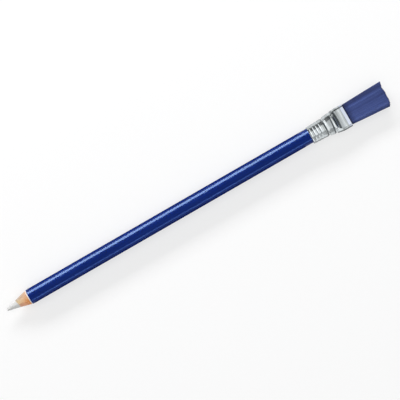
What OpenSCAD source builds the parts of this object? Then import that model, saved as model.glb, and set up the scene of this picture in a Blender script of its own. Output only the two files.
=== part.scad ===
// Eraser pencil with a brush, as used for correcting typewriting.
// A round wooden pencil holds a white rubber core instead of a lead. A tin ferrule is rolled onto its far
// end, flattened at the mouth, and grips a flat tuft of bristles for sweeping the crumbs away.
//
// The pencil lies along X with the eraser at -X and the brush at +X. It rests on the plane z = 0, and the
// flat of the brush faces up. Lengths along the pencil, called s here, run from the eraser's nose.

/* [Pencil] */
// Outer diameter of the lacquered barrel
barrel_d = 7.5; // [7:0.1:8.5]
// Length of the pencil alone, from the eraser's nose to its square end
pencil_len = 172.2; // [120:0.1:190]
// Diameter of the eraser core
core_d = 4; // [3:0.1:4.6]
// Radius of the eraser's worn nose
nose_r = 0.8; // [0.5:0.05:1.1]
// Half angle of the sharpened eraser
core_taper = 13; // [10:0.5:18]
// Half angle of the sharpened wood
wood_taper = 14.7; // [12:0.1:20]
// Thickness of the white primer on the wood
primer_t = 0.12; // [0.06:0.01:0.2]
// Thickness of the blue lacquer on the primer
lacquer_t = 0.1; // [0.06:0.01:0.2]
// Thickness of the glue film between the two slats
glue_t = 0.06; // [0.04:0.01:0.12]

/* [Ferrule sleeve] */
// Depth that the pencil enters the ferrule
seat_depth = 6.9; // [5:0.1:10]
// Wall of the tin plate
tin_t = 0.4; // [0.2:0.05:0.5]
// Radial clearance between the sleeve's edge and the barrel
sleeve_gap = 0.05; // [0.02:0.01:0.1]
// How much the tube's radius grows from the sleeve's edge to the neck groove
tube_flare = 0.45; // [0:0.05:0.5]
// Pitch of the grip grooves that are rolled into the sleeve and the wood
grip_pitch = 1.65; // [1.4:0.05:2.2]
// Width of one grip groove
grip_w = 1.1; // [0.7:0.1:1.3]
// Depth of the grip grooves
grip_depth = 0.18; // [0.1:0.02:0.3]

/* [Ferrule mouth] */
// Length over which the round tube widens to the mouth
flatten_len = 8.3; // [7.6:0.1:10]
// Length of the flat mouth
mouth_len = 4.4; // [4:0.1:7]
// Thickness of the flat mouth, outside
mouth_t = 4.8; // [4:0.1:5.4]
// How far the mouth sits to one side of the pencil's axis
mouth_shift = 0.4; // [0:0.05:0.8]
// Distance of the shoulder, where the two faces start to close, from the end of the round sleeve
shoulder_at = 5.5; // [5:0.1:6]
// Length in which the faces do most of their closing
shoulder_len = 1.15; // [1:0.05:1.6]
// Width of the stop groove just past the pencil's end
stop_w = 1.9; // [0.8:0.1:2.1]
// Depth of the stop groove
stop_depth = 0.45; // [0.2:0.05:0.6]
// How far the stop groove bows towards the brush on the two faces
stop_bow = 0.35; // [0:0.05:0.5]
// Distance of the neck groove's middle from the pencil's end
neck_at = 5.2; // [4.6:0.1:5.8]
// Width of the neck groove
neck_w = 1.9; // [0.8:0.1:2.1]
// Depth of the neck groove
neck_depth = 0.4; // [0.1:0.05:0.5]
// How far the neck groove leans along the tube, from its middle to each side
neck_lean = 0.5; // [0:0.05:0.6]
// Distance of the hem line's middle from the mouth's edge
hem_at = 1.65; // [1.4:0.05:2.2]
// Width of the hem line
hem_w = 0.5; // [0.4:0.1:0.8]
// Depth of the hem line
hem_depth = 0.04; // [0.03:0.01:0.12]

/* [Brush] */
// Length of the bristles outside the ferrule
bristle_len = 21.7; // [12:0.1:30]
// Width of the brush at the tips
fan_w = 12.6; // [11:0.1:15]
// Thickness of the brush at the tips
fan_t = 4.2; // [3.6:0.1:5]
// How far the tips lean to the side that the mouth is shifted to
fan_lean = 0.25; // [0:0.05:0.6]
// How much shorter the bristles are on that side
end_skew = 1.1; // [0:0.1:2]
// Largest random difference between neighbouring bristles' lengths
end_ragged = 0.8; // [0.1:0.1:1.5]
// Bristles across the width
bristle_cols = 40; // [34:1:44]
// Bristles across the thickness
bristle_rows = 11; // [9:1:13]
// Share of its own pitch that a bristle fills
bristle_fill = 0.66; // [0.5:0.02:0.74]
// Clearance between the bristles' roots and the ferrule
tuft_gap = 0.08; // [0.04:0.01:0.15]
// Depth of the resin's face below the mouth's edge
root_recess = 0.6; // [0.3:0.1:1]
// Clearance between the resin plug and the ferrule
plug_gap = 0.03; // [0.02:0.01:0.06]

/* [Hidden] */

$fn = 96;
nose_steps = 10;
groove_steps = 6;
press_steps = 10;
hem_steps = 4;
loft_step = 0.45;
loft_sides = 40;
// Land of full radius between the pencil's end and the stop groove
stop_land = 0.3;
// The flattened length laps inside the round sleeve's wall, by this much and this far from both faces
lap_len = 0.3;
lap_inset = 0.05;
// Above 1 the faces bend smoothly into the shoulder and ease out to the mouth
shoulder_bend = 1.5;
// A larger crown makes the flattened faces flatter
flat_crown = 2.2;
// Rounding of the tuft's two narrow sides, 1 for a full half circle
tuft_round = 0.9;
bristle_seed = 8;

barrel_r = barrel_d / 2;
core_r = core_d / 2;
primer_r = barrel_r - lacquer_t;
wood_r = primer_r - primer_t;
sleeve_r = barrel_r + sleeve_gap;
tube_r = sleeve_r + tin_t + tube_flare;
sleeve_s = pencil_len - seat_depth;
round_end_s = pencil_len + stop_land;
stop_s = round_end_s + stop_w / 2;
neck_s = pencil_len + neck_at;
neck_reach = neck_w / 2 + neck_lean;
flare_end_s = neck_s - neck_reach;
shoulder_s = round_end_s + shoulder_at;
mouth_s = round_end_s + flatten_len + mouth_len;
hem_s = mouth_s - hem_at;
overall_len = mouth_s + bristle_len;
// The pencil lies on one flat side of the loft
axis_z = tube_r * cos(180 / loft_sides);
grip_count = floor((seat_depth - grip_w) / grip_pitch) + 1;

// The resin behind the bristles starts past the stop groove, and their own slice of it at the hem line
plug_s = stop_s + stop_w / 2;
slice_s = hem_s - hem_w / 2;
root_face_s = mouth_s - root_recess;

// Shared shapes along the pencil

// Depth of a smooth groove of width w, at distance d from its middle
function groove(depth, w, d) = abs(d) < w / 2 ? depth * (1 + cos(360 * d / w)) / 2 : 0;

// Places from one side of such a groove to the other
function across(at, w, steps) = [for (i = [0:steps]) at - w / 2 + i * w / steps];

// Where the sharpened surface reaches a given radius: on the eraser first, then on the wood
nose_end_s = nose_r * (1 - sin(core_taper));
core_edge_s = nose_end_s + (core_r - nose_r * cos(core_taper)) / tan(core_taper);
function taper_s(r) = core_edge_s + (r - core_r) / tan(wood_taper);

// The grip grooves press the sleeve and every layer under it inwards by the same amount
function grip_at(k) = sleeve_s + grip_w / 2 + k * grip_pitch;
function grip_dip(s) =
  let (k = max(0, min(grip_count - 1, round((s - grip_at(0)) / grip_pitch))))
  groove(grip_depth, grip_w, s - grip_at(k));
grip_stations = [for (k = [0:grip_count - 1]) each across(grip_at(k), grip_w, groove_steps)];

function reversed(list) = [for (i = [len(list) - 1:-1:0]) list[i]];

// An edge of a layer, as [radius, s] from one place to another through the grip grooves
function gripped_edge(r, from, to) = [
  [r, from],
  for (s = grip_stations) if (s > from) [r - grip_dip(s), s],
  [r, to]
];

function layer_edge(r) = gripped_edge(r, taper_s(r), pencil_len);

// Turns a profile of [radius, s] about the pencil's axis
module turned(profile) {
  translate([-overall_len / 2, 0, axis_z]) rotate([0, 90, 0]) rotate_extrude() polygon(profile);
}

// A turned layer between two edges
module layer(inner, outer) {
  turned(concat(outer, reversed(inner)));
}

// Eraser core: a rubber rod, sharpened to a rounded nose

module eraser_core() {
  nose = [
    for (i = [0:nose_steps])
      let (a = i * (90 - core_taper) / nose_steps) [nose_r * sin(a), nose_r * (1 - cos(a))]
  ];
  color("whitesmoke")
    turned(concat(nose, [[core_r, core_edge_s], [core_r, pencil_len], [0, pencil_len]]));
}

// Casing: two grooved slats, glued face to face round the core and turned to a rod

module casing_rod() {
  layer([[core_r, core_edge_s], [core_r, pencil_len]], layer_edge(wood_r));
}

// A slab across the rod, from one height to another above the axis
module slab(low, high) {
  translate([-overall_len / 2, -barrel_d, axis_z + low]) cube([overall_len, 2 * barrel_d, high - low]);
}

module upper_slat() {
  color("burlywood") intersection() {
    casing_rod();
    slab(glue_t / 2, barrel_d);
  }
}

module lower_slat() {
  color("burlywood") intersection() {
    casing_rod();
    slab(-barrel_d, -glue_t / 2);
  }
}

module slat_glue() {
  color("wheat") intersection() {
    casing_rod();
    slab(-glue_t / 2, glue_t / 2);
  }
}

// Coats: white primer, then blue lacquer, both cut back to the wood by the sharpener

module primer_coat() {
  color("white") layer(layer_edge(wood_r), layer_edge(primer_r));
}

module lacquer_coat() {
  color([0.08, 0.16, 0.42]) layer(layer_edge(primer_r), layer_edge(barrel_r));
}

// Ferrule: a tin tube, rolled onto the pencil and flattened into a mouth for the bristles

// How much wider the tube is at s than at the sleeve's edge, before it is pressed flat
function flare(s) = tube_flare * min(1, (s - sleeve_s) / (flare_end_s - sleeve_s));

// An edge of the round sleeve, from its given radius at the sleeve's own edge
function sleeve_edge(r) = [for (p = gripped_edge(r, sleeve_s, round_end_s)) [p[0] + flare(p[1]), p[1]]];

// How far the tube has widened at s, from 0 to 1
function flattened(s) = min(1, max(0, (s - round_end_s) / flatten_len));

// How far the two faces have closed at s, from 0 at the shoulder to 1 at the mouth
function closed(s) = 1 - exp(-pow(max(0, s - shoulder_s) / shoulder_len, shoulder_bend));

// Half thickness of the tube at s. The half width grows evenly, to what keeps the girth of the tin
function round_r(s) = sleeve_r + tin_t + flare(s);
function half_t(s) = round_r(s) + (mouth_t / 2 - tube_r) * closed(s);
function half_w(s) = round_r(s) + (PI / 2 - 1) * (tube_r - mouth_t / 2) * flattened(s);

// Depth of the pressed grooves at s, at angle a round the tube: the stop groove bows, the neck groove leans
function tube_dip(s, a) =
  groove(stop_depth, stop_w, s - stop_s - stop_bow * pow(sin(a), 2))
  + groove(neck_depth, neck_w, s - neck_s - neck_lean * cos(a))
  + groove(hem_depth, hem_w, s - hem_s);

// A point of the model from s, a distance across and a height above the axis
function placed(s, y, z) = [s - overall_len / 2, y, axis_z + z];

// Outline of the tube at s, set in from its outside by a given amount: a circle where the tube is round,
// two half circles joined by slightly crowned faces where it is flat
function tube_loop(s, inset) =
  let (reach = half_w(s) - half_t(s), y = -mouth_shift * flattened(s))
  [
    for (i = [0:loft_sides - 1])
      let (
        a = 360 * (i + 0.5) / loft_sides,
        t = half_t(s) - tube_dip(s, a) - inset,
        side = max(-1, min(1, flat_crown * cos(a)))
      )
      placed(s, y + reach * side + t * cos(a), t * sin(a))
  ];

// Places evenly spread between two others, without these
function between(from, to) =
  let (n = ceil((to - from) / loft_step)) [for (i = [1:1:n - 1]) from + (to - from) * i / n];

// Places along the tube: through the stop groove, along the plug, and through the hem line
stop_stations = [for (s = across(stop_s, stop_w, press_steps)) if (s > round_end_s + lap_inset) s];
plug_stations = [
  each between(plug_s, flare_end_s),
  each across(neck_s, 2 * neck_reach, press_steps),
  each between(neck_s + neck_reach, slice_s)
];
hem_stations = across(hem_s, hem_w, hem_steps);

// Two triangles for each side of the band between loops i and j of n points
function band(i, j, n) = [
  for (k = [0:n - 1])
    let (m = (k + 1) % n)
    each [[i * n + k, j * n + k, j * n + m], [i * n + k, j * n + m, i * n + m]]
];

// A tube's wall: out along the first loops, back along the others, and closed into a ring
module looped_shell(loops) {
  polyhedron(
    points = [for (loop = loops) each loop],
    faces = [for (i = [0:len(loops) - 1]) each band(i, (i + 1) % len(loops), len(loops[0]))]
  );
}

module ferrule() {
  lap_s = round_end_s - lap_len;
  stations = concat(stop_stations, plug_stations, hem_stations, [mouth_s]);
  color("silver") union() {
    layer(sleeve_edge(sleeve_r), sleeve_edge(sleeve_r + tin_t));
    looped_shell(concat(
      [tube_loop(lap_s, lap_inset)],
      [for (s = stations) tube_loop(s, 0)],
      [for (s = reversed(stations)) tube_loop(s, tin_t)],
      [tube_loop(lap_s, tin_t - lap_inset)]
    ));
  }
}

// Brush: bristles that stand in a slice of resin, with the rest of the resin as a plug behind it

// A solid through a row of loops, with a fan of triangles from the middle of each end
module lofted_solid(loops) {
  n = len(loops[0]);
  last = len(loops) - 1;
  hub = n * len(loops);
  middles = [for (loop = [loops[0], loops[last]]) (loop[0] + loop[n / 2]) / 2];
  polyhedron(
    points = concat([for (loop = loops) each loop], middles),
    faces = [
      for (i = [0:last - 1]) each band(i, i + 1, n),
      for (k = [0:n - 1]) [hub, k, (k + 1) % n],
      for (k = [0:n - 1]) [hub + 1, last * n + (k + 1) % n, last * n + k]
    ]
  );
}

module root_plug() {
  color("goldenrod")
    lofted_solid([for (s = concat([plug_s], plug_stations, [slice_s])) tube_loop(s, tin_t + plug_gap)]);
}

// Half width and half thickness of the tuft where it leaves the ferrule
tuft_half_w = half_w(mouth_s) - tin_t - tuft_gap;
tuft_half_t = half_t(mouth_s) - tin_t - tuft_gap;

// Half thickness of the tuft at a distance y from its middle
function tuft_edge(y) =
  let (past = max(0, abs(y) - (tuft_half_w - tuft_half_t)) / tuft_half_t)
  tuft_half_t * sqrt(1 - pow(tuft_round * past, 2));

// A place in the tuft's section, with u from 0 to 1 across the width and v from 0 to 1 through the thickness
function root_at(u, v) = let (y = tuft_half_w * (2 * u - 1)) [y, tuft_edge(y) * (2 * v - 1)];
function tuft_point(s, p) = placed(s, p[0] - mouth_shift, p[1]);

module bristles() {
  cols = bristle_cols;
  rows = bristle_rows;
  ragged = rands(0, end_ragged, cols * rows, bristle_seed);
  fan = [fan_w / 2 / tuft_half_w, fan_t / 2 / tuft_half_t];

  // Grid corners on the slice's face, the edge of its back, and a triangle at each bristle's root and tip
  grid = [for (i = [0:cols]) for (j = [0:rows]) root_at(i / cols, j / rows)];
  rim = [for (i = [0:cols]) each [root_at(i / cols, 0), root_at(i / cols, 1)]];
  corners = [for (a = [-150, -30, 90]) [cos(a), sin(a)] * bristle_fill / sqrt(3) + [0.5, 0.45]];
  roots = [
    for (i = [0:cols - 1]) for (j = [0:rows - 1]) for (c = corners)
      root_at((i + c[0]) / cols, (j + c[1]) / rows)
  ];
  tips = [
    for (i = [0:cols - 1]) for (j = [0:rows - 1])
      let (
        n = i * rows + j,
        middle = root_at((i + 0.5) / cols, (j + 0.5) / rows),
        moved = [middle[0] * (fan[0] - 1) - fan_lean, middle[1] * (fan[1] - 1)],
        s = overall_len - end_skew * (1 - (i + 0.5) / cols) - ragged[n]
      )
      for (k = [0:2]) tuft_point(s, roots[3 * n + k] + moved)
  ];

  // Numbers of the first point of each kind
  rim_0 = len(grid);
  root_0 = rim_0 + len(rim);
  tip_0 = root_0 + len(roots);
  function g(i, j) = i * (rows + 1) + j;
  function b(i, top) = rim_0 + 2 * i + top;

  // Each cell of the face goes round its bristle's root, and the bristle has three sides and a tip
  cells = [
    for (i = [0:cols - 1]) for (j = [0:rows - 1])
      let (r = root_0 + 3 * (i * rows + j), t = r + tip_0 - root_0)
      each [
        [g(i, j), g(i + 1, j), r + 1], [g(i, j), r + 1, r],
        [g(i + 1, j), g(i + 1, j + 1), r + 2], [g(i + 1, j), r + 2, r + 1],
        [g(i + 1, j + 1), g(i, j + 1), r + 2],
        [g(i, j + 1), g(i, j), r], [g(i, j + 1), r, r + 2],
        for (k = [0:2]) let (m = (k + 1) % 3) each [[r + k, r + m, t + m], [r + k, t + m, t + k]],
        [t, t + 1, t + 2]
      ]
  ];
  long_sides_and_back = [
    for (i = [0:cols - 1]) each [
      [g(i + 1, 0), g(i, 0), b(i, 0)], [g(i + 1, 0), b(i, 0), b(i + 1, 0)],
      [g(i, rows), g(i + 1, rows), b(i + 1, 1)], [g(i, rows), b(i + 1, 1), b(i, 1)],
      [b(i, 0), b(i, 1), b(i + 1, 1)], [b(i, 0), b(i + 1, 1), b(i + 1, 0)]
    ]
  ];
  narrow_sides = [
    [b(0, 1), b(0, 0), g(0, 0)],
    for (j = [0:rows - 1]) [b(0, 1), g(0, j), g(0, j + 1)],
    [b(cols, 1), g(cols, 0), b(cols, 0)],
    for (j = [0:rows - 1]) [b(cols, 1), g(cols, j + 1), g(cols, j)]
  ];
  color([0.25, 0.3, 0.52]) polyhedron(
    points = concat(
      [for (p = grid) tuft_point(root_face_s, p)],
      [for (p = rim) tuft_point(slice_s, p)],
      [for (p = roots) tuft_point(root_face_s, p)],
      tips
    ),
    faces = [for (face = concat(cells, long_sides_and_back, narrow_sides)) reversed(face)]
  );
}

eraser_core();
upper_slat();
lower_slat();
slat_glue();
primer_coat();
lacquer_coat();
ferrule();
root_plug();
bristles();
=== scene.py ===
"""Looks of a typewriter eraser: a round eraser pencil with a flat brush in a tin ferrule.

The sections follow the pencil as it is put together: eraser, wood, glue, coats, ferrule and brush, and then
the table that it lies on. Lengths are in metres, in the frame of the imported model: the pencil lies along X
with the eraser at -X, and the flat of the brush faces up.
"""

import bpy
import numpy as np
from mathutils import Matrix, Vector


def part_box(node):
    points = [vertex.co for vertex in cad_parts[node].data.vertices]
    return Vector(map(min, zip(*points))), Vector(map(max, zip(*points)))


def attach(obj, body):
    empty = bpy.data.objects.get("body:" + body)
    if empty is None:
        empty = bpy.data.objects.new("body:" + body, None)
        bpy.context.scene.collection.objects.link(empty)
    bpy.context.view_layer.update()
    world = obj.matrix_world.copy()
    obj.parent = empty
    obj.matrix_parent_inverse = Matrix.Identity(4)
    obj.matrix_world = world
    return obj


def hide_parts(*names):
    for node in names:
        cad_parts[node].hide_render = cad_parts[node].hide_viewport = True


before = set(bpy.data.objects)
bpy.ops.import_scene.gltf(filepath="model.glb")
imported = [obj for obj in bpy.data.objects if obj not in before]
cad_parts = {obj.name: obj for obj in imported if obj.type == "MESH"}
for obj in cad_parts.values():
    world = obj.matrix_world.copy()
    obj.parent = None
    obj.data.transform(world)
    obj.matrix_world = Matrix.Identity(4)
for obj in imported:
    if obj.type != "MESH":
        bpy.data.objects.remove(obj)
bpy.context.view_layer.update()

# Eraser core
# A rod of white vinyl rubber, extruded, glued into the groove of the casing and sharpened with it.
# The point is worn round by use, and the cutter leaves fine rings on it.
MM = 0.001
core_low, core_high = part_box("eraser_core")
nose_x, pencil_end_x = core_low.x, core_high.x
axis_z = (core_low.z + core_high.z) / 2
core_r = (core_high.z - core_low.z) / 2
core_edge_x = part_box("upper_slat")[0].x
wood_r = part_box("upper_slat")[1].z - axis_z
wood_edge_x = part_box("primer_coat")[0].x
wood_slope = (wood_r - core_r) / (wood_edge_x - core_edge_x)
nose_r = 0.8 * MM
core_taper = np.radians(13)
nose_end_x = nose_x + nose_r * (1 - np.sin(core_taper))
core_off_centre = 0.13 * MM
core_bared_share = 0.4
core_set_in = 2 * MM
cutter_ring_pitch = 0.24 * MM
cutter_ring_depth = 0.006 * MM
nose_lean = 0.1 * MM
nose_lean_reach = 2.2 * MM
turn = np.linspace(0, 2 * np.pi, 128, endpoint=False)


def sharpened_radius(x):
    """Radius of the sharpened end at x: a round nose, then the eraser's cone, then the wood's wider cone."""
    on_nose = np.sqrt(np.maximum(0, nose_r**2 - (nose_x + nose_r - x) ** 2))
    on_core = core_r - (core_edge_x - x) * np.tan(core_taper)
    on_wood = core_r + (x - core_edge_x) * wood_slope
    return np.where(x < nose_end_x, on_nose, np.where(x < core_edge_x, on_core, on_wood))


def core_boundary(angle):
    """Where the eraser meets the wood: as the core is a little off centre, it shows further on one side."""
    return core_edge_x + core_off_centre * (core_bared_share + np.cos(angle)) / np.tan(core_taper)


def about_axis(x, radius, angle):
    """Points at a radius and an angle about the pencil's axis. Angle 0 is at -Y and a quarter turn is up."""
    x, radius, angle = np.broadcast_arrays(x, radius, angle)
    return np.stack([x, -radius * np.cos(angle), axis_z + radius * np.sin(angle)], -1)


def grid_faces(rows, cols, closed_rows, closed_cols):
    """Corner numbers of the quads between neighbouring points of a grid that is numbered row by row."""
    row, col = np.meshgrid(
        np.arange(rows if closed_rows else rows - 1),
        np.arange(cols if closed_cols else cols - 1),
        indexing="ij",
    )
    next_row, next_col = (row + 1) % rows, (col + 1) % cols
    corners = [row * cols + col, row * cols + next_col, next_row * cols + next_col, next_row * cols + col]
    return np.stack(corners, -1).reshape(-1, 4)


def make_piece(name, points, face_groups, finish, sharp_degrees=35):
    """A piece from its points and its faces, in groups of equal corner count, turned to face outwards."""
    mesh = bpy.data.meshes.new(name)
    points = np.asarray(points, np.float64).reshape(-1, 3)
    sizes = np.concatenate([np.full(len(group), group.shape[1]) for group in face_groups])
    corners = np.concatenate([group.ravel() for group in face_groups])
    mesh.vertices.add(len(points))
    mesh.vertices.foreach_set("co", points.ravel().astype(np.float32))
    mesh.loops.add(len(corners))
    mesh.loops.foreach_set("vertex_index", corners.astype(np.int32))
    mesh.polygons.add(len(sizes))
    mesh.polygons.foreach_set("loop_start", (np.cumsum(sizes) - sizes).astype(np.int32))
    mesh.update(calc_edges=True)
    mesh.calc_loop_triangles()
    triangles = np.empty(3 * len(mesh.loop_triangles), np.int32)
    mesh.loop_triangles.foreach_get("vertices", triangles)
    a, b, c = (points[triangles[k::3]] for k in range(3))
    if np.einsum("ij,ij->", a, np.cross(b, c)) < 0:
        mesh.flip_normals()
    mesh.polygons.foreach_set("use_smooth", np.ones(len(mesh.polygons), bool))
    mesh.set_sharp_from_angle(angle=np.radians(sharp_degrees))
    mesh.materials.append(finish)
    piece = bpy.data.objects.new(name, mesh)
    bpy.context.scene.collection.objects.link(piece)
    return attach(piece, "root")


def capped_tube(rings):
    """Points and faces of a solid through a stack of rings, with a fan to the middle of each end ring."""
    rows, cols = rings.shape[:2]
    points = np.concatenate([rings.reshape(-1, 3), [rings[0].mean(0), rings[-1].mean(0)]])
    this = np.arange(cols)
    following = (this + 1) % cols
    first_fan = np.stack([np.full(cols, rows * cols), following, this], -1)
    last_row = (rows - 1) * cols
    last_fan = np.stack([np.full(cols, rows * cols + 1), last_row + this, last_row + following], -1)
    return points, [grid_faces(rows, cols, False, True), first_fan, last_fan]


def new_finish(name):
    """A material with its node tree and its shader."""
    finish = bpy.data.materials.new(name)
    finish.use_nodes = True
    return finish, finish.node_tree, finish.node_tree.nodes["Principled BSDF"]


def connect(tree, node, inputs):
    """Puts values or other nodes' outputs on a node's inputs."""
    for key, value in inputs.items():
        if isinstance(value, bpy.types.NodeSocket):
            tree.links.new(value, node.inputs[key])
        else:
            node.inputs[key].default_value = value


def add_node(tree, kind, inputs=None, **settings):
    """A node with its settings, and with values or other nodes' outputs on its inputs."""
    node = tree.nodes.new(kind)
    for key, value in settings.items():
        setattr(node, key, value)
    connect(tree, node, inputs or {})
    return node


def sums(tree, operation, *values):
    """One step of arithmetic on values or other nodes' outputs."""
    return add_node(tree, "ShaderNodeMath", dict(enumerate(values)), operation=operation).outputs[0]


def place_along(tree, axis):
    """The piece's own coordinate along X, Y or Z."""
    place = add_node(tree, "ShaderNodeTexCoord").outputs["Object"]
    return add_node(tree, "ShaderNodeSeparateXYZ", {"Vector": place}).outputs[axis]


def grain(tree, per_mm, detail=3.0, roughness=0.5):
    """Noise on the piece's own coordinates, with so many grains to a millimetre along X, Y and Z."""
    place = add_node(tree, "ShaderNodeTexCoord").outputs["Object"]
    scaled = add_node(tree, "ShaderNodeMapping", {"Vector": place, "Scale": [n / MM for n in per_mm]})
    inputs = {"Vector": scaled.outputs[0], "Scale": 1.0, "Detail": detail, "Roughness": roughness}
    return add_node(tree, "ShaderNodeTexNoise", inputs).outputs["Fac"]


def ramp(tree, value, *stops):
    """Colour of a value between 0 and 1, from stops of a place and a colour."""
    node = add_node(tree, "ShaderNodeValToRGB", {"Fac": value})
    elements = node.color_ramp.elements
    while len(elements) < len(stops):
        elements.new(0.5)
    for element, (at, colour) in zip(elements, stops):
        element.position = at
        element.color = (*colour, 1)
    return node.outputs["Color"]


def mix_colours(tree, blend, share, first, second):
    """Two colours mixed, multiplied or added, by a share between 0 and 1. On this node, inputs 6 and 7 and
    output 2 are the ones for colours."""
    inputs = {0: share, 6: first, 7: second}
    return add_node(tree, "ShaderNodeMix", inputs, data_type="RGBA", blend_type=blend).outputs[2]


def bump(tree, shader, height, depth_mm):
    """Makes the surface rise and fall with a height between 0 and 1."""
    node = add_node(tree, "ShaderNodeBump", {"Height": height, "Strength": 1.0, "Distance": depth_mm * MM})
    connect(tree, shader, {"Normal": node.outputs["Normal"]})


rubber, tree, shader = new_finish("white_rubber")
smudge = grain(tree, (0.5, 0.9, 0.9), detail=4)
rubber_colour = ramp(tree, smudge, (0.3, (0.58, 0.58, 0.57)), (0.6, (0.68, 0.68, 0.67)))
connect(tree, shader, {"Base Color": rubber_colour, "Roughness": 0.6, "Specular IOR Level": 0.3})
bump(tree, shader, grain(tree, (6, 6, 6), detail=5), 0.02)

nose_turn = np.linspace(0.04, 1, 12) * (np.pi / 2 - core_taper)
bared_x = np.concatenate([
    nose_x + nose_r * (1 - np.cos(nose_turn)),
    np.linspace(nose_end_x, core_edge_x, 120)[1:],
])[:, None]
share = (bared_x - nose_x) / (core_edge_x - nose_x)
eraser_x = nose_x + share * (core_boundary(turn) - nose_x)
cutter_rings = cutter_ring_depth * np.sin(2 * np.pi * (eraser_x - nose_x) / cutter_ring_pitch)
bared_rings = about_axis(eraser_x, sharpened_radius(eraser_x) + share * cutter_rings, turn)
bared_rings[..., 1] -= nose_lean * np.exp(-(((eraser_x - nose_x) / nose_lean_reach) ** 2))
held_rings = about_axis(np.array([[core_edge_x + core_set_in], [pencil_end_x]]), core_r, turn)
core = make_piece("eraser_core_worn", *capped_tube(np.concatenate([bared_rings, held_rings])), rubber)
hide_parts("eraser_core")

# Wood casing
# Two slats of soft straight-grained wood, grooved for the core, glued together and turned to a rod.
# The sharpener bares them as a cone, and the ferrule's rollers press grip grooves into their far end.
sleeve_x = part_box("ferrule")[0].x
half_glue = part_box("upper_slat")[0].z - axis_z
grip_pitch = 1.65 * MM
grip_w = 1.1 * MM
grip_depth = 0.13 * MM
grip_count = int((pencil_end_x - sleeve_x - grip_w) / grip_pitch) + 1
cutter_chatter, chatter_pitch, chatter_waves = 0.012 * MM, 1.3 * MM, 7
layers_w, layers_waver = 7.2 * MM, 0.3
slat_cols = 65


def rolled_groove(x, middle, width, depth):
    """Depth of a rolled groove at x: one wave of a cosine, deepest at its middle."""
    away = np.abs(x - middle) / width
    return np.where(away < 0.5, depth * (1 + np.cos(2 * np.pi * away)) / 2, 0)


def grip_dip(x):
    """How far the grip grooves press in at x, all of them added up."""
    middles = sleeve_x + grip_w / 2 + grip_pitch * np.arange(grip_count)
    return sum(rolled_groove(x, middle, grip_w, grip_depth) for middle in middles)


gripped_x = np.linspace(sleeve_x, pencil_end_x, 16 * grip_count + 1)

wood, tree, shader = new_finish("bare_wood")
layers = sums(tree, "MULTIPLY_ADD", place_along(tree, "Y"), 1 / layers_w, 0.5)
uneven = grain(tree, (0.15, 0.6, 0.6), detail=3)
waver = sums(tree, "MULTIPLY_ADD", uneven, layers_waver, -layers_waver / 2)
layers = sums(tree, "ADD", layers, waver)
# Colour across Y, partly the wood's grain and partly painted light: lighter towards the -Y side, where shade
# falls, and darker towards the +Y side, which the key lamp lights.
near_core_grain_and_light = ramp(
    tree, layers,
    (0.1, (0.82, 0.53, 0.43)), (0.3, (0.88, 0.52, 0.42)), (0.42, (0.84, 0.62, 0.39)),
    (0.55, (0.69, 0.55, 0.34)), (0.8, (0.46, 0.40, 0.34)),
)
near_coats_grain_and_light = ramp(
    tree, layers,
    (0.1, (0.84, 0.36, 0.14)), (0.3, (0.88, 0.36, 0.10)), (0.42, (0.84, 0.41, 0.17)),
    (0.55, (0.76, 0.41, 0.23)), (0.8, (0.68, 0.43, 0.29)),
)
bare_length = wood_edge_x - core_edge_x
toward_coats = sums(tree, "MULTIPLY_ADD", place_along(tree, "X"), 1 / bare_length, -core_edge_x / bare_length)
wood_colour = mix_colours(tree, "MIX", toward_coats, near_core_grain_and_light, near_coats_grain_and_light)
streaks = ramp(tree, grain(tree, (0.3, 1.6, 1.6), detail=3), (0.4, (0.80, 0.70, 0.58)), (0.58, (1, 1, 1)))
fibre = ramp(tree, grain(tree, (0.6, 9, 9), detail=4), (0.3, (0.72, 0.68, 0.62)), (0.6, (1, 1, 1)))
wood_colour = mix_colours(tree, "MULTIPLY", 0.55, wood_colour, streaks)
wood_colour = mix_colours(tree, "MULTIPLY", 0.45, wood_colour, fibre)
connect(tree, shader, {"Base Color": wood_colour, "Roughness": 0.7, "Specular IOR Level": 0.25})
bump(tree, shader, grain(tree, (0.6, 9, 9), detail=4), 0.03)


def slat_points(side):
    """Points of one slat: its length profile, closed, carried across from one glue face to the other.

    The profile runs up the bare cone, along the rod and back along the core. At each radius the sweep starts
    and ends at the glue's half thickness, so both glue faces are flat.
    """
    across = np.linspace(0, 1, slat_cols)
    cone = np.linspace(0, 1, 40)[:, None]
    rod_x = np.concatenate([np.linspace(wood_edge_x, sleeve_x, 30)[1:-1], gripped_x])[:, None]
    even_turn = np.pi * across
    start_x = core_boundary(side * even_turn)
    cone_x = start_x + cone * (wood_edge_x - start_x)
    phase = chatter_waves * even_turn + 2 * np.pi * (cone_x - core_edge_x) / chatter_pitch
    chatter = cutter_chatter * np.sin(phase)
    cone_r = sharpened_radius(cone_x) + chatter * np.sin(np.pi * cone)
    rod_r = wood_r - grip_dip(rod_x)
    back_x = np.array([[pencil_end_x], [core_edge_x + core_set_in]])
    profile_x = np.concatenate([np.broadcast_to(a, (len(a), slat_cols)) for a in (cone_x, rod_x, back_x)])
    profile_r = np.concatenate([
        np.broadcast_to(a, (len(a), slat_cols)) for a in (cone_r, rod_r, np.full((2, 1), core_r))
    ])
    edge = np.arcsin(half_glue / profile_r)
    return about_axis(profile_x, profile_r, side * (edge + across * (np.pi - 2 * edge)))


for side, node in ((1, "upper_slat"), (-1, "lower_slat")):
    points = slat_points(side)
    rows = len(points)
    glue_face = np.arange(rows)[None, ::-1] * slat_cols
    faces = [grid_faces(rows, slat_cols, True, False), glue_face, glue_face[:, ::-1] + slat_cols - 1]
    slat = make_piece(node + "_bared", points, faces, wood)
    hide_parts(node)

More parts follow.
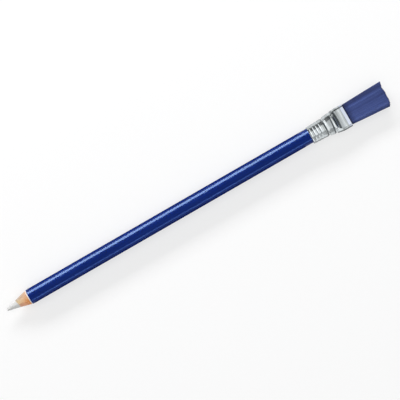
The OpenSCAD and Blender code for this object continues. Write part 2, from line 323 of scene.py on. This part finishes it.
# Glue between the slats
# A thin film of brown wood glue, squeezed out level with the wood when the slats were pressed together.
# Its solid is right as it is, so it keeps it and gets a finish.
glue, tree, shader = new_finish("dried_glue")
glue_colour = ramp(tree, grain(tree, (1, 3, 3)), (0.35, (0.36, 0.2, 0.08)), (0.65, (0.5, 0.31, 0.14)))
connect(tree, shader, {"Base Color": glue_colour, "Roughness": 0.45})
bump(tree, shader, grain(tree, (4, 4, 4)), 0.01)
glue_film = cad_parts["slat_glue"]
glue_film.data.materials.clear()
glue_film.data.materials.append(glue)

# Primer coat
# A white undercoat, sprayed on the wood in several passes. It shows only where the sharpener cuts
# through it, as a pale ring, and there it chips a little.
primer_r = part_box("primer_coat")[1].z - axis_z
primer_edge_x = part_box("lacquer_coat")[0].x
primer_chips = 0.05 * MM
chip_waves = 12
chip_fade = 2 * MM


def chipped(angle, depth, seed):
    """How far a coat's cut edge is chipped back round the pencil: waves of several lengths, never below 0."""
    random = np.random.default_rng(seed)
    waves = random.integers(3, 40, chip_waves)[:, None]
    shifts = random.uniform(0, 2 * np.pi, chip_waves)[:, None]
    heights = random.uniform(0.2, 1, chip_waves)[:, None]
    return depth * np.abs((heights * np.sin(waves * angle + shifts)).sum(0)) / heights.sum()


def coat_points(inner_r, outer_r, inner_edge_x, outer_edge_x, depth, seed):
    """Points of a coat: its length profile, closed, carried round the axis. The cut edge is chipped."""
    chips = chipped(turn, depth, seed)
    free_along = np.linspace(0, 1, 60)[:, None] ** 2 * (sleeve_x - outer_edge_x)
    along = np.concatenate([free_along, gripped_x[1:, None] - outer_edge_x])
    fade = np.maximum(0, 1 - along / chip_fade)
    outer_x = outer_edge_x + along + fade * chips
    inner_x = np.concatenate([gripped_x[::-1, None], [[inner_edge_x]]]) + np.zeros_like(turn)
    inner_x[-1] += chips
    profile_x = np.concatenate([outer_x, inner_x])
    profile_r = np.concatenate([np.full(outer_x.shape, outer_r), np.full(inner_x.shape, inner_r)])
    return about_axis(profile_x, profile_r - grip_dip(profile_x), turn)


def closed_skin(points):
    """Faces of a grid of points that closes on itself both ways, along its profile and round the axis."""
    return [grid_faces(*points.shape[:2], True, True)]


primer, tree, shader = new_finish("white_primer")
primer_colour = ramp(tree, grain(tree, (3, 3, 3)), (0.3, (0.72, 0.66, 0.64)), (0.7, (0.82, 0.78, 0.77)))
connect(tree, shader, {"Base Color": primer_colour, "Roughness": 0.8})
bump(tree, shader, grain(tree, (8, 8, 8)), 0.01)
points = coat_points(wood_r, primer_r, wood_edge_x, primer_edge_x, primer_chips, 3)
primer_coat = make_piece("primer_coat_cut", points, closed_skin(points), primer)
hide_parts("primer_coat")

# Lacquer coat
# Glossy dark blue lacquer, drawn over the primer in many thin coats, so it lies smooth with only a faint
# orange peel. Handling leaves hair scratches along it.
barrel_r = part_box("lacquer_coat")[1].z - axis_z
lacquer_edge_x = primer_edge_x + (barrel_r - primer_r) / wood_slope
lacquer_chips = 0.07 * MM

lacquer, tree, shader = new_finish("blue_lacquer")
depth_of_colour = grain(tree, (0.05, 0.4, 0.4), detail=2)
lacquer_colour = ramp(
    tree, depth_of_colour, (0.35, (0.002, 0.013, 0.136)), (0.65, (0.003, 0.017, 0.158))
)
scratches = grain(tree, (0.08, 5, 5), detail=2)
scratched = ramp(tree, scratches, (0.5, (0.19, 0.19, 0.19)), (0.8, (0.26, 0.26, 0.26)))
connect(tree, shader, {
    "Base Color": lacquer_colour, "Roughness": scratched,
    "Specular IOR Level": 0.25, "Specular Tint": (0.45, 0.69, 1.0, 1),
})
bump(tree, shader, grain(tree, (0.4, 0.8, 0.8), detail=1), 0.001)
points = coat_points(primer_r, barrel_r, primer_edge_x, lacquer_edge_x, lacquer_chips, 5)
lacquer_coat = make_piece("lacquer_coat_glossy", points, closed_skin(points), lacquer)
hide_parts("lacquer_coat")

# Ferrule
# A tube of tin plate, slipped on the pencil, held by grooves that are rolled into it, and pressed flat
# over the bristles. The press leaves two deep grooves, a hem line and faint dents.
mouth_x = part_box("ferrule")[1].x
tube_r = (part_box("ferrule")[1].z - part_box("ferrule")[0].z) / 2
tin_t = 0.4 * MM
tube_flare = 0.45 * MM
round_end_x = pencil_end_x + 0.3 * MM
flatten_len = 8.3 * MM
mouth_half_t = 2.4 * MM
mouth_shift = 0.4 * MM
sleeve_spread, sleeve_shift = 0.2 * MM, 0.12 * MM
shoulder_x = round_end_x + 5.5 * MM
shoulder_len, shoulder_bend = 1.15 * MM, 1.5
flat_crown = 2.2
stop_w, stop_depth, stop_bow = 1.9 * MM, 0.45 * MM, 0.35 * MM
stop_x = round_end_x + stop_w / 2
neck_w, neck_depth, neck_lean = 1.9 * MM, 0.4 * MM, 0.5 * MM
neck_face_ease, neck_far_ease = 0.4, 0.7
neck_x = pencil_end_x + 5.2 * MM
flare_end_x = neck_x - neck_w / 2 - neck_lean
hem_w, hem_depth = 0.5 * MM, 0.04 * MM
hem_x = mouth_x - 1.65 * MM
lip_blend = 0.2 * MM
edge_bulge = 0.15
dent_depth, dent_start = 0.036 * MM, 1 * MM
dent_waves = ((1.9, 3, 0.7), (2.7, -5, 2.1), (0.9, 8, 4.0))
smooth_past, smooth_reach, smooth_share = 0.9 * MM, 1.1 * MM, 0.8
# Sizes and strengths of the painted shade and painted dark reflections on the tin
groove_shade_w, groove_shade_back = 1.2 * MM, 0.5 * MM
groove_shade_strength, far_groove_shade_share = 1.4, 0.6
shoulder_shade_strength, beyond_shoulder_shade, shoulder_shade_len = 0.7, 0.4, 2.6 * MM
face_shade, side_shade, hem_shade = 0.4, 0.25, 0.35
dark_rim_w, rim_blend = 0.65 * MM, 0.4
sleeve_rim_share, far_rim_share = 0.75, 0.2
tube_turn = np.linspace(0, 2 * np.pi, 160, endpoint=False)


def flattened(x):
    """How far the tube has widened at x, from 0 to 1."""
    return np.clip((x - round_end_x) / flatten_len, 0, 1)


def squeezed(x):
    """How far the press has squeezed the tube out of round at x: 1 along the sleeve, and down to 0 where the
    tube has widened."""
    return 1 - flattened(x)


def round_radius(x):
    """Radius of the tube before it is flattened: it flares from the sleeve's edge to the neck groove."""
    return tube_r - tube_flare * np.clip((flare_end_x - x) / (flare_end_x - sleeve_x), 0, 1)


def half_thickness(x):
    """Half thickness of the tube: full up to the shoulder, where it closes and eases out to the mouth."""
    past = np.maximum(0, x - shoulder_x) / shoulder_len
    return round_radius(x) + (mouth_half_t - tube_r) * (1 - np.exp(-(past**shoulder_bend)))


def half_width(x):
    """Half width of the tube: it grows evenly, to what keeps the girth of the tin. The press spreads the
    sleeve a little."""
    widened = (np.pi / 2 - 1) * (tube_r - mouth_half_t) * flattened(x)
    return round_radius(x) + widened + sleeve_spread * squeezed(x)


def pressed_in(x, angle):
    """Depth of the grooves in the flattened length: the stop groove bows, and the neck groove leans and is
    shallower in the middle of both faces and on the +Y side."""
    stop = rolled_groove(x - stop_bow * np.sin(angle) ** 2, stop_x, stop_w, stop_depth)
    far_side = np.clip(np.cos(angle), 0, 1)
    neck_press = neck_depth * (1 - neck_face_ease * np.sin(angle) ** 4 - neck_far_ease * far_side)
    neck = rolled_groove(x - neck_lean * np.cos(angle), neck_x, neck_w, neck_press)
    return stop + neck + rolled_groove(x, hem_x, hem_w, hem_depth)


def dented(x, angle):
    """Shallow uneven dents all over the tin: a few crossed waves, each so steep along the tube and so often
    round it, with none at the sleeve's edge and few on the shoulder, which the press left smooth."""
    waves = sum(np.sin(along * x / MM + around * angle + start) for along, around, start in dent_waves)
    count = len(dent_waves)
    off_edge = np.clip((x - sleeve_x) / dent_start, 0, 1)
    off_shoulder = 1 - smooth_share * np.exp(-(((x - shoulder_x - smooth_past) / smooth_reach) ** 2))
    return dent_depth / (2 * count) * (count + waves) * off_edge * off_shoulder


def painted_tin_shade(x, angle):
    """Painted shade and painted dark reflections on the tin: shade on the rear flank of both deep grooves,
    mostly on the -Y side, and on the shoulder's +Y side. More painted shade lies beside them, along the
    sleeve's +Y side and in the hem line. A painted dark reflection runs along the -Y side, except between the
    grooves, and a fainter one along the sleeve's +Y side."""
    lower = np.clip(-2 * np.cos(angle), 0, 1)
    upper = np.clip(4 * np.cos(angle) - 1.8, 0, 1)
    in_stop = rolled_groove(x - stop_bow * np.sin(angle) ** 2, stop_x - groove_shade_back, groove_shade_w, groove_shade_strength)
    in_stop = in_stop * (lower + far_groove_shade_share * upper)
    in_neck = rolled_groove(x - neck_lean * np.cos(angle), neck_x - groove_shade_back, groove_shade_w, groove_shade_strength)
    in_neck = in_neck * lower
    dark_band = np.exp(-(((np.cos(angle) - 0.58) / 0.2) ** 2))
    on_sleeve = side_shade * dark_band * (x < stop_x)
    past_stop = np.clip((x - stop_x - stop_w / 2) / (stop_w / 2), 0, 1)
    before_neck = x - neck_lean * np.cos(angle) < neck_x - neck_w / 3
    between = past_stop * before_neck * (face_shade * np.sin(angle) ** 2 + side_shade * dark_band)
    on_shoulder = rolled_groove(x, shoulder_x + 1.0 * MM, shoulder_shade_len, shoulder_shade_strength) * upper
    past_shoulder = rolled_groove(x, shoulder_x + 3.2 * MM, shoulder_shade_len, beyond_shoulder_shade)
    in_hem = rolled_groove(x, hem_x, 2 * hem_w, hem_shade)
    from_side = half_thickness(x) * (1 + np.cos(angle))
    from_far_side = half_thickness(x) * (1 - np.cos(angle))
    rim_share = np.where((x > stop_x) & (x < neck_x), 0, sleeve_rim_share + (1 - sleeve_rim_share) * flattened(x))
    rim = np.clip((dark_rim_w - from_side) / (rim_blend * dark_rim_w), 0, 1) * rim_share
    far_rim = np.clip((dark_rim_w - from_far_side) / (rim_blend * dark_rim_w), 0, 1)
    bands_of_shade = between + on_sleeve + on_shoulder + past_shoulder + in_hem + far_rim_share * far_rim * (x < neck_x)
    return np.minimum(1, in_stop + in_neck + bands_of_shade + rim)


def tube_points(x, inset, angle):
    """Points of the tube, set in from its outside: a circle where it is round, and where it is flat two half
    circles joined by crowned faces. Grooves and dents are taken off all round."""
    thickness = half_thickness(x)
    radius = thickness - grip_dip(x) - pressed_in(x, angle) - dented(x, angle) - inset
    side = np.clip(flat_crown * np.cos(angle), -1, 1)
    shift = mouth_shift * flattened(x) + sleeve_shift * squeezed(x)
    across = (half_width(x) - thickness) * side + radius * np.cos(angle) - shift
    x, across, up = np.broadcast_arrays(x, across, radius * np.sin(angle))
    return np.stack([x, across, axis_z + up], -1)


def store_levels(piece, name, levels):
    """Stores one level for each point of a piece, which its material reads by the name."""
    attribute = piece.data.attributes.new(name, "FLOAT", "POINT")
    attribute.data.foreach_set("value", levels.astype(np.float32))


tin, tree, shader = new_finish("tin_plate")
tarnish = grain(tree, (1.4, 0.15, 0.15), detail=4)
dull = ramp(
    tree, tarnish, (0.32, (0.44, 0.47, 0.465)), (0.5, (0.615, 0.655, 0.665)), (0.7, (0.70, 0.75, 0.785))
)
past_hem = sums(tree, "MULTIPLY_ADD", place_along(tree, "X"), 1 / lip_blend, -hem_x / lip_blend)
dressed_lip = ramp(tree, past_hem, (0.0, (0, 0, 0)), (1.0, (1, 1, 1)))
clean = mix_colours(tree, "MIX", dressed_lip, dull, (0.66, 0.71, 0.82, 1))
# Painted shade and dark reflections, stored on the tin's points, darken its colour
shade_level = add_node(tree, "ShaderNodeAttribute", attribute_name="painted_tin_shade").outputs["Fac"]
tin_colour = mix_colours(tree, "MIX", shade_level, clean, (0.085, 0.095, 0.1, 1))
handled = grain(tree, (1.2, 0.5, 0.5), detail=3)
polish = ramp(tree, handled, (0.3, (0.14, 0.14, 0.14)), (0.7, (0.23, 0.23, 0.23)))
connect(tree, shader, {"Base Color": tin_colour, "Metallic": 1.0, "Roughness": polish})
bump(tree, shader, grain(tree, (2.5, 0.6, 0.6), detail=3), 0.018)

edge_turn = np.linspace(0, np.pi, 7)[1:-1]
sleeve_stations = np.linspace(sleeve_x, round_end_x, 70)[:-1]
outside_x = np.concatenate([sleeve_stations, np.linspace(round_end_x, mouth_x, 130)])
inside_x = outside_x[::-2]
lip_x, back_edge_x = np.full(len(edge_turn), mouth_x), np.full(len(edge_turn), sleeve_x)
path_x = np.concatenate([outside_x, lip_x, inside_x, back_edge_x])
path_inset = np.concatenate([
    np.zeros(len(outside_x)), tin_t * (1 - np.cos(edge_turn)) / 2,
    np.full(len(inside_x), tin_t), tin_t * (1 + np.cos(edge_turn)) / 2,
])
points = tube_points(path_x[:, None], path_inset[:, None], tube_turn)
rounding = np.concatenate([
    np.zeros(len(outside_x)), np.sin(edge_turn), np.zeros(len(inside_x)), -np.sin(edge_turn)
])
points[..., 0] += rounding[:, None] * tin_t * edge_bulge
ferrule = make_piece("ferrule_pressed", points, closed_skin(points), tin, 50)
store_levels(ferrule, "painted_tin_shade", painted_tin_shade(path_x[:, None], tube_turn).ravel())
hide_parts("ferrule")

# Resin plug
# Resin that is poured behind the bristles' roots and sets inside the ferrule, so it takes the shape of
# the pressed tin all round. Nothing of it shows.
plug_gap = 0.03 * MM
plug_x = stop_x + stop_w / 2
bed_x = hem_x - hem_w / 2
resin, tree, shader = new_finish("set_resin")
resin_colour = ramp(tree, grain(tree, (0.8, 0.8, 0.8)), (0.3, (0.28, 0.17, 0.06)), (0.7, (0.42, 0.27, 0.1)))
connect(tree, shader, {"Base Color": resin_colour, "Roughness": 0.3})
bump(tree, shader, grain(tree, (2, 2, 2)), 0.03)
plug_rings = tube_points(np.linspace(plug_x, bed_x, 50)[:, None], tin_t + plug_gap, tube_turn)
plug = make_piece("root_plug_poured", *capped_tube(plug_rings), resin)
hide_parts("root_plug")

# Bristles
# Over a thousand blue nylon filaments, cut from a hank, set in a bed of resin in the ferrule's mouth and
# trimmed together. The tuft spreads a little towards its tips, and use has made its end uneven.
tip_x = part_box("bristles")[1].x
bed_face_x = mouth_x - 0.6 * MM
tuft_gap = 0.08 * MM
tuft_half_w = half_width(mouth_x) - tin_t - tuft_gap
tuft_half_t = mouth_half_t - tin_t - tuft_gap
tuft_round = 0.9
fan_half_w, fan_half_t = 6.3 * MM, 2.1 * MM
fan_lean = 0.35 * MM
strand_cols, strand_rows = 76, 20
strand_r = 0.066 * MM
strand_sides = 5
strand_jitter = 0.2
strand_wander = 0.16 * MM
stray_y_spread, stray_z_spread, bow_spread = 0.5, 0.4, 0.35
clump_count = 30
end_ragged, ragged_power = 0.5 * MM, 1.6
# Strand tones at random, and painted shade on the strands' ends, on the outermost strands on both sides and
# on the roots near the mouth
least_tone, clump_tone, own_tone, shaded_tip_tone = 0.15, 0.35, 0.4, 0.15
far_shade_from, far_shade_blend = 0.52, 0.22
near_shade_from, near_shade_blend = 0.93, 0.05
edge_shade_depth = 0.85
root_shade_len = 3.2 * MM
root_gap = 0.25 * MM
trim_y = np.array([-6.7, -5.75, -4.8, -3.4, -2.0, -0.1, 0.9, 3.2, 4.2, 5.1, 6.0]) * MM
trim_short = np.array([1.8, 1.32, 0.98, 0.69, 0.8, 0.6, 0.58, 1.0, 0.58, 0.4, 0.05]) * MM
random = np.random.default_rng(8)


def tuft_edge(y):
    """Half thickness of the tuft at a distance y from its middle, rounded off at its two narrow sides."""
    past = np.maximum(0, np.abs(y) - (tuft_half_w - tuft_half_t)) / tuft_half_t
    return tuft_half_t * np.sqrt(np.maximum(0, 1 - (tuft_round * past) ** 2))


col, row = np.meshgrid(np.arange(strand_cols), np.arange(strand_rows), indexing="ij")
col, row = col.ravel(), row.ravel()
strand_count = len(col)
hank_y = ((col + 0.25 + 0.5 * (row % 2)) / strand_cols * 2 - 1) * (tuft_half_w - strand_r)
root_z = ((row + 0.5) / strand_rows * 2 - 1) * (tuft_edge(hank_y) - strand_r)
hank_y = hank_y + random.uniform(-strand_jitter, strand_jitter, strand_count) * 2 * tuft_half_w / strand_cols
root_y = hank_y * (1 - root_gap / (2 * tuft_half_w)) + root_gap / 2
tip_y = hank_y * fan_half_w / tuft_half_w - fan_lean
tip_z = root_z * fan_half_t / tuft_half_t
stray_y = strand_wander * random.normal(0, stray_y_spread, strand_count)
stray_z = strand_wander * random.normal(0, stray_z_spread, strand_count)
bow_y = strand_wander * random.normal(0, bow_spread, strand_count)
ragged = end_ragged * random.uniform(0, 1, strand_count) ** ragged_power
end_x = tip_x - (np.interp(tip_y, trim_y, trim_short) + ragged)
station = np.array([0, 0.12, 0.35, 0.6, 0.82, 0.965, 1.0])[None, :]
line_x = bed_x + station * (end_x[:, None] - bed_x)
out = np.clip((line_x - mouth_x) / (tip_x - mouth_x), 0, 1)
line_y = root_y[:, None] + out * (tip_y - root_y)[:, None] + out**2 * stray_y[:, None]
line_y = line_y + 4 * out * (1 - out) * bow_y[:, None] - mouth_shift
line_z = axis_z + root_z[:, None] + out * (tip_z - root_z)[:, None] + out**2 * stray_z[:, None]
strand_turn = 2 * np.pi * np.arange(strand_sides) / strand_sides
strand_points = np.stack(np.broadcast_arrays(
    line_x[..., None],
    line_y[..., None] + strand_r * np.cos(strand_turn),
    line_z[..., None] + strand_r * np.sin(strand_turn),
), -1)
stations = station.shape[1]
strand_size = stations * strand_sides
first_point = np.arange(strand_count)[:, None, None] * strand_size
strand_skin = (first_point + grid_faces(stations, strand_sides, False, True)[None]).reshape(-1, 4)
ring_corners = np.arange(strand_sides)
strand_ends = np.stack([ring_corners[::-1], ring_corners + strand_size - strand_sides])
strand_ends = (first_point + strand_ends[None]).reshape(-1, strand_sides)

bed_side = np.linspace(-tuft_half_w, tuft_half_w, 48)
bed_loop_y = np.concatenate([bed_side, bed_side[::-1]]) - mouth_shift
bed_loop_z = axis_z + np.concatenate([-tuft_edge(bed_side), tuft_edge(bed_side[::-1])])
bed_rings = np.stack([
    np.stack([np.full(len(bed_loop_y), x), bed_loop_y, bed_loop_z], -1) for x in (bed_x, bed_face_x)
])
bed_points, bed_faces = capped_tube(bed_rings)

nylon, tree, shader = new_finish("blue_nylon")
tone = add_node(tree, "ShaderNodeAttribute", attribute_name="strand_tone").outputs["Fac"]
nylon_colour = ramp(
    tree, tone, (0.0, (0.037, 0.052, 0.175)), (0.55, (0.074, 0.115, 0.355)), (1.0, (0.137, 0.195, 0.50))
)
# Painted shade at the bristles' roots, darkest at the mouth
off_mouth = sums(tree, "MULTIPLY_ADD", place_along(tree, "X"), 1 / root_shade_len, -mouth_x / root_shade_len)
root_shade = ramp(
    tree, off_mouth, (0.0, (0.09, 0.09, 0.12)), (0.35, (0.58, 0.58, 0.62)), (1.0, (1, 1, 1))
)
nylon_colour = mix_colours(tree, "MULTIPLY", 1.0, nylon_colour, root_shade)
connect(tree, shader, {"Base Color": nylon_colour, "Roughness": 0.42, "Specular IOR Level": 0.4})
bump(tree, shader, grain(tree, (0.4, 6, 6), detail=2), 0.01)
all_points = np.concatenate([strand_points.reshape(-1, 3), bed_points])
bed_start = strand_count * strand_size
all_faces = [strand_skin, strand_ends] + [faces + bed_start for faces in bed_faces]
tuft = make_piece("bristle_tuft", all_points, all_faces, nylon, 60)
clump_y = np.sort(random.uniform(-tuft_half_w, tuft_half_w, clump_count))
clumps = np.interp(hank_y, clump_y, random.uniform(0, 1, clump_count))
aside = hank_y / tuft_half_w
# Painted shade on the outermost strands, broad on the lit +Y side and thin on the -Y side, and on the
# strands' ends
far_edge_shade = np.clip((aside - far_shade_from) / far_shade_blend, 0, 1)
near_edge_shade = np.clip((-aside - near_shade_from) / near_shade_blend, 0, 1)
unshaded_tone = least_tone + clump_tone * clumps + own_tone * random.uniform(0, 1, strand_count)
strand_tone = unshaded_tone * (1 - edge_shade_depth * (far_edge_shade + near_edge_shade))
shaded_tips = np.where(station == 1, shaded_tip_tone, 1)
tones = np.repeat(strand_tone[:, None] * shaded_tips, strand_sides)
tones = np.concatenate([tones, np.zeros(len(bed_points))])
store_levels(tuft, "strand_tone", tones)
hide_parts("bristles")

# Table, lamps and camera
# The pencil lies on a plain white table, seen from straight above. A key lamp at its side gives the soft
# shadow and a wide lamp above fills it. Panels and strips give the tin and the lacquer what they mirror.
scene = bpy.context.scene
scene.view_settings.view_transform = "Standard"
table_half, table_white = 6.0, 0.58


def flat_sheet(name, low_x, high_x, half_w, height, finish):
    """A flat sheet from one place along X to another, equally wide to both sides, at a height."""
    mesh = bpy.data.meshes.new(name)
    corners = ((low_x, -half_w), (high_x, -half_w), (high_x, half_w), (low_x, half_w))
    mesh.from_pydata([(x, y, height) for x, y in corners], [], [(0, 1, 2, 3)])
    mesh.materials.append(finish)
    sheet = bpy.data.objects.new(name, mesh)
    scene.collection.objects.link(sheet)
    return sheet


paper, tree, shader = new_finish("white_table")
paper_colour = ramp(tree, grain(tree, (0.5, 0.5, 0.5)), (0.0, (0.93, 0.93, 0.93)), (1.0, (0.95, 0.95, 0.95)))
connect(tree, shader, {"Base Color": paper_colour, "Roughness": 0.9, "Specular IOR Level": 0.0})
path = add_node(tree, "ShaderNodeLightPath").outputs
seen = sums(tree, "MAXIMUM", path["Is Camera Ray"], path["Is Glossy Ray"])
seen = sums(tree, "MAXIMUM", seen, path["Is Transmission Ray"])
white = add_node(tree, "ShaderNodeEmission", {"Color": (1, 1, 1, 1), "Strength": 1.0}).outputs[0]
part_white = sums(tree, "MULTIPLY", seen, table_white)
mixed = add_node(tree, "ShaderNodeMixShader", {0: part_white, 1: shader.outputs[0], 2: white}).outputs[0]
tree.links.new(mixed, tree.nodes["Material Output"].inputs["Surface"])
table = flat_sheet("table", -table_half, table_half, table_half, 0, paper)

# A dark felt on the table, which only reflections show, keeps the edges of the lacquer from turning pale
felt_half_w, felt_rise = 0.03, 0.02 * MM
felt_end_x = sleeve_x - 4 * MM
dark_felt, tree, shader = new_finish("dark_felt")
felt_colour = ramp(tree, grain(tree, (2, 2, 2)), (0.3, (0.01, 0.012, 0.02)), (0.7, (0.02, 0.024, 0.04)))
connect(tree, shader, {"Base Color": felt_colour, "Roughness": 1.0, "Specular IOR Level": 0.0})
felt = flat_sheet("felt", lacquer_edge_x, felt_end_x, felt_half_w, felt_rise, dark_felt)
felt.visible_camera = felt.visible_diffuse = felt.visible_shadow = felt.visible_transmission = False


def panel_lamp(name, place, aim, length, height, radiance, colour=(1, 1, 1)):
    """A flat lamp at a place, turned to an aim, with its length along X and a given brightness."""
    lamp = bpy.data.lights.new(name, "AREA")
    lamp.shape = "RECTANGLE"
    lamp.size, lamp.size_y = length, height
    lamp.energy = radiance * np.pi * length * height
    lamp.color = colour
    holder = bpy.data.objects.new(name, lamp)
    holder.location = place
    holder.rotation_euler = (Vector(aim) - Vector(place)).to_track_quat("-Z", "Y").to_euler()
    scene.collection.objects.link(holder)
    return holder


def on_side(distance, elevation_degrees, side):
    """A place beside the pencil at a distance and an elevation, on the +Y side or the -Y side."""
    elevation = np.radians(elevation_degrees)
    return (0, side * distance * np.cos(elevation), axis_z + distance * np.sin(elevation))


middle = (0, 0, axis_z)
panel_above = panel_lamp("panel_above", (-0.11, 0.02, 1.2), (-0.11, 0.02, 0), 1.58, 1.45, 0.82)
panel_above.visible_diffuse = False
key = panel_lamp("key_lamp", on_side(1.0, 27, 1), middle, 1.2, 0.22, 11.5)
key.visible_glossy = False
fill = panel_lamp("fill_above", (0.1, 0.0, 1.3), middle, 1.6, 1.2, 1.5)
fill.visible_glossy = False
corner_panel = panel_lamp("corner_panel", (0.5, -0.6, 0.2), (0.08, 0, 0), 0.8, 0.5, 0.8)
corner_panel.visible_diffuse = False
end_panel = panel_lamp("end_panel", (-0.8, 0.3, 0.55), middle, 2.6, 1.0, 1.15)
end_panel.visible_diffuse = False

# The lacquer alone mirrors two strips, one on each side, and the tin alone the panel above
lacquer_only = bpy.data.collections.new("lacquer_only")
lacquer_only.objects.link(lacquer_coat)
tin_only = bpy.data.collections.new("tin_only")
tin_only.objects.link(ferrule)
panel_above.light_linking.receiver_collection = tin_only
for name, place, height, radiance, colour in (
    ("streak_strip", on_side(0.6, 27.5, 1), 0.34, 23.5, (1, 1, 1)),
    ("under_strip", on_side(0.6, 25, -1), 0.16, 9.0, (0.4, 0.58, 1)),
):
    strip = panel_lamp(name, place, middle, 0.6, height, radiance, colour)
    strip.visible_diffuse = False
    strip.light_linking.receiver_collection = lacquer_only

world = bpy.data.worlds.new("dim_room")
scene.world = world
world.use_nodes = True
tree = world.node_tree
direction = add_node(tree, "ShaderNodeTexCoord").outputs["Generated"]
toward = add_node(tree, "ShaderNodeSeparateXYZ", {"Vector": direction}).outputs
end_on = sums(tree, "MULTIPLY_ADD", toward["X"], 0.5, 0.5)
side_on = sums(tree, "MULTIPLY_ADD", toward["Y"], 0.5, 0.5)
end_light = ramp(tree, end_on, (0.42, (0.25, 0.25, 0.25)), (0.75, (0.10, 0.108, 0.115)))
side_light = ramp(tree, side_on, (0.2, (0.28, 0.28, 0.28)), (0.45, (0.0, 0.0, 0.0)))
room_light = mix_colours(tree, "ADD", 1.0, end_light, side_light)
tree.links.new(room_light, tree.nodes["Background"].inputs["Color"])

camera_data = bpy.data.cameras.new("photo_camera")
camera_data.lens = 170
camera_data.sensor_width = 36
camera = bpy.data.objects.new("photo_camera", camera_data)
camera.location = (0.00158, -0.00053, 0.89805)
camera.rotation_euler = (0, 0, np.radians(-29.94))
scene.collection.objects.link(camera)
scene.camera = camera
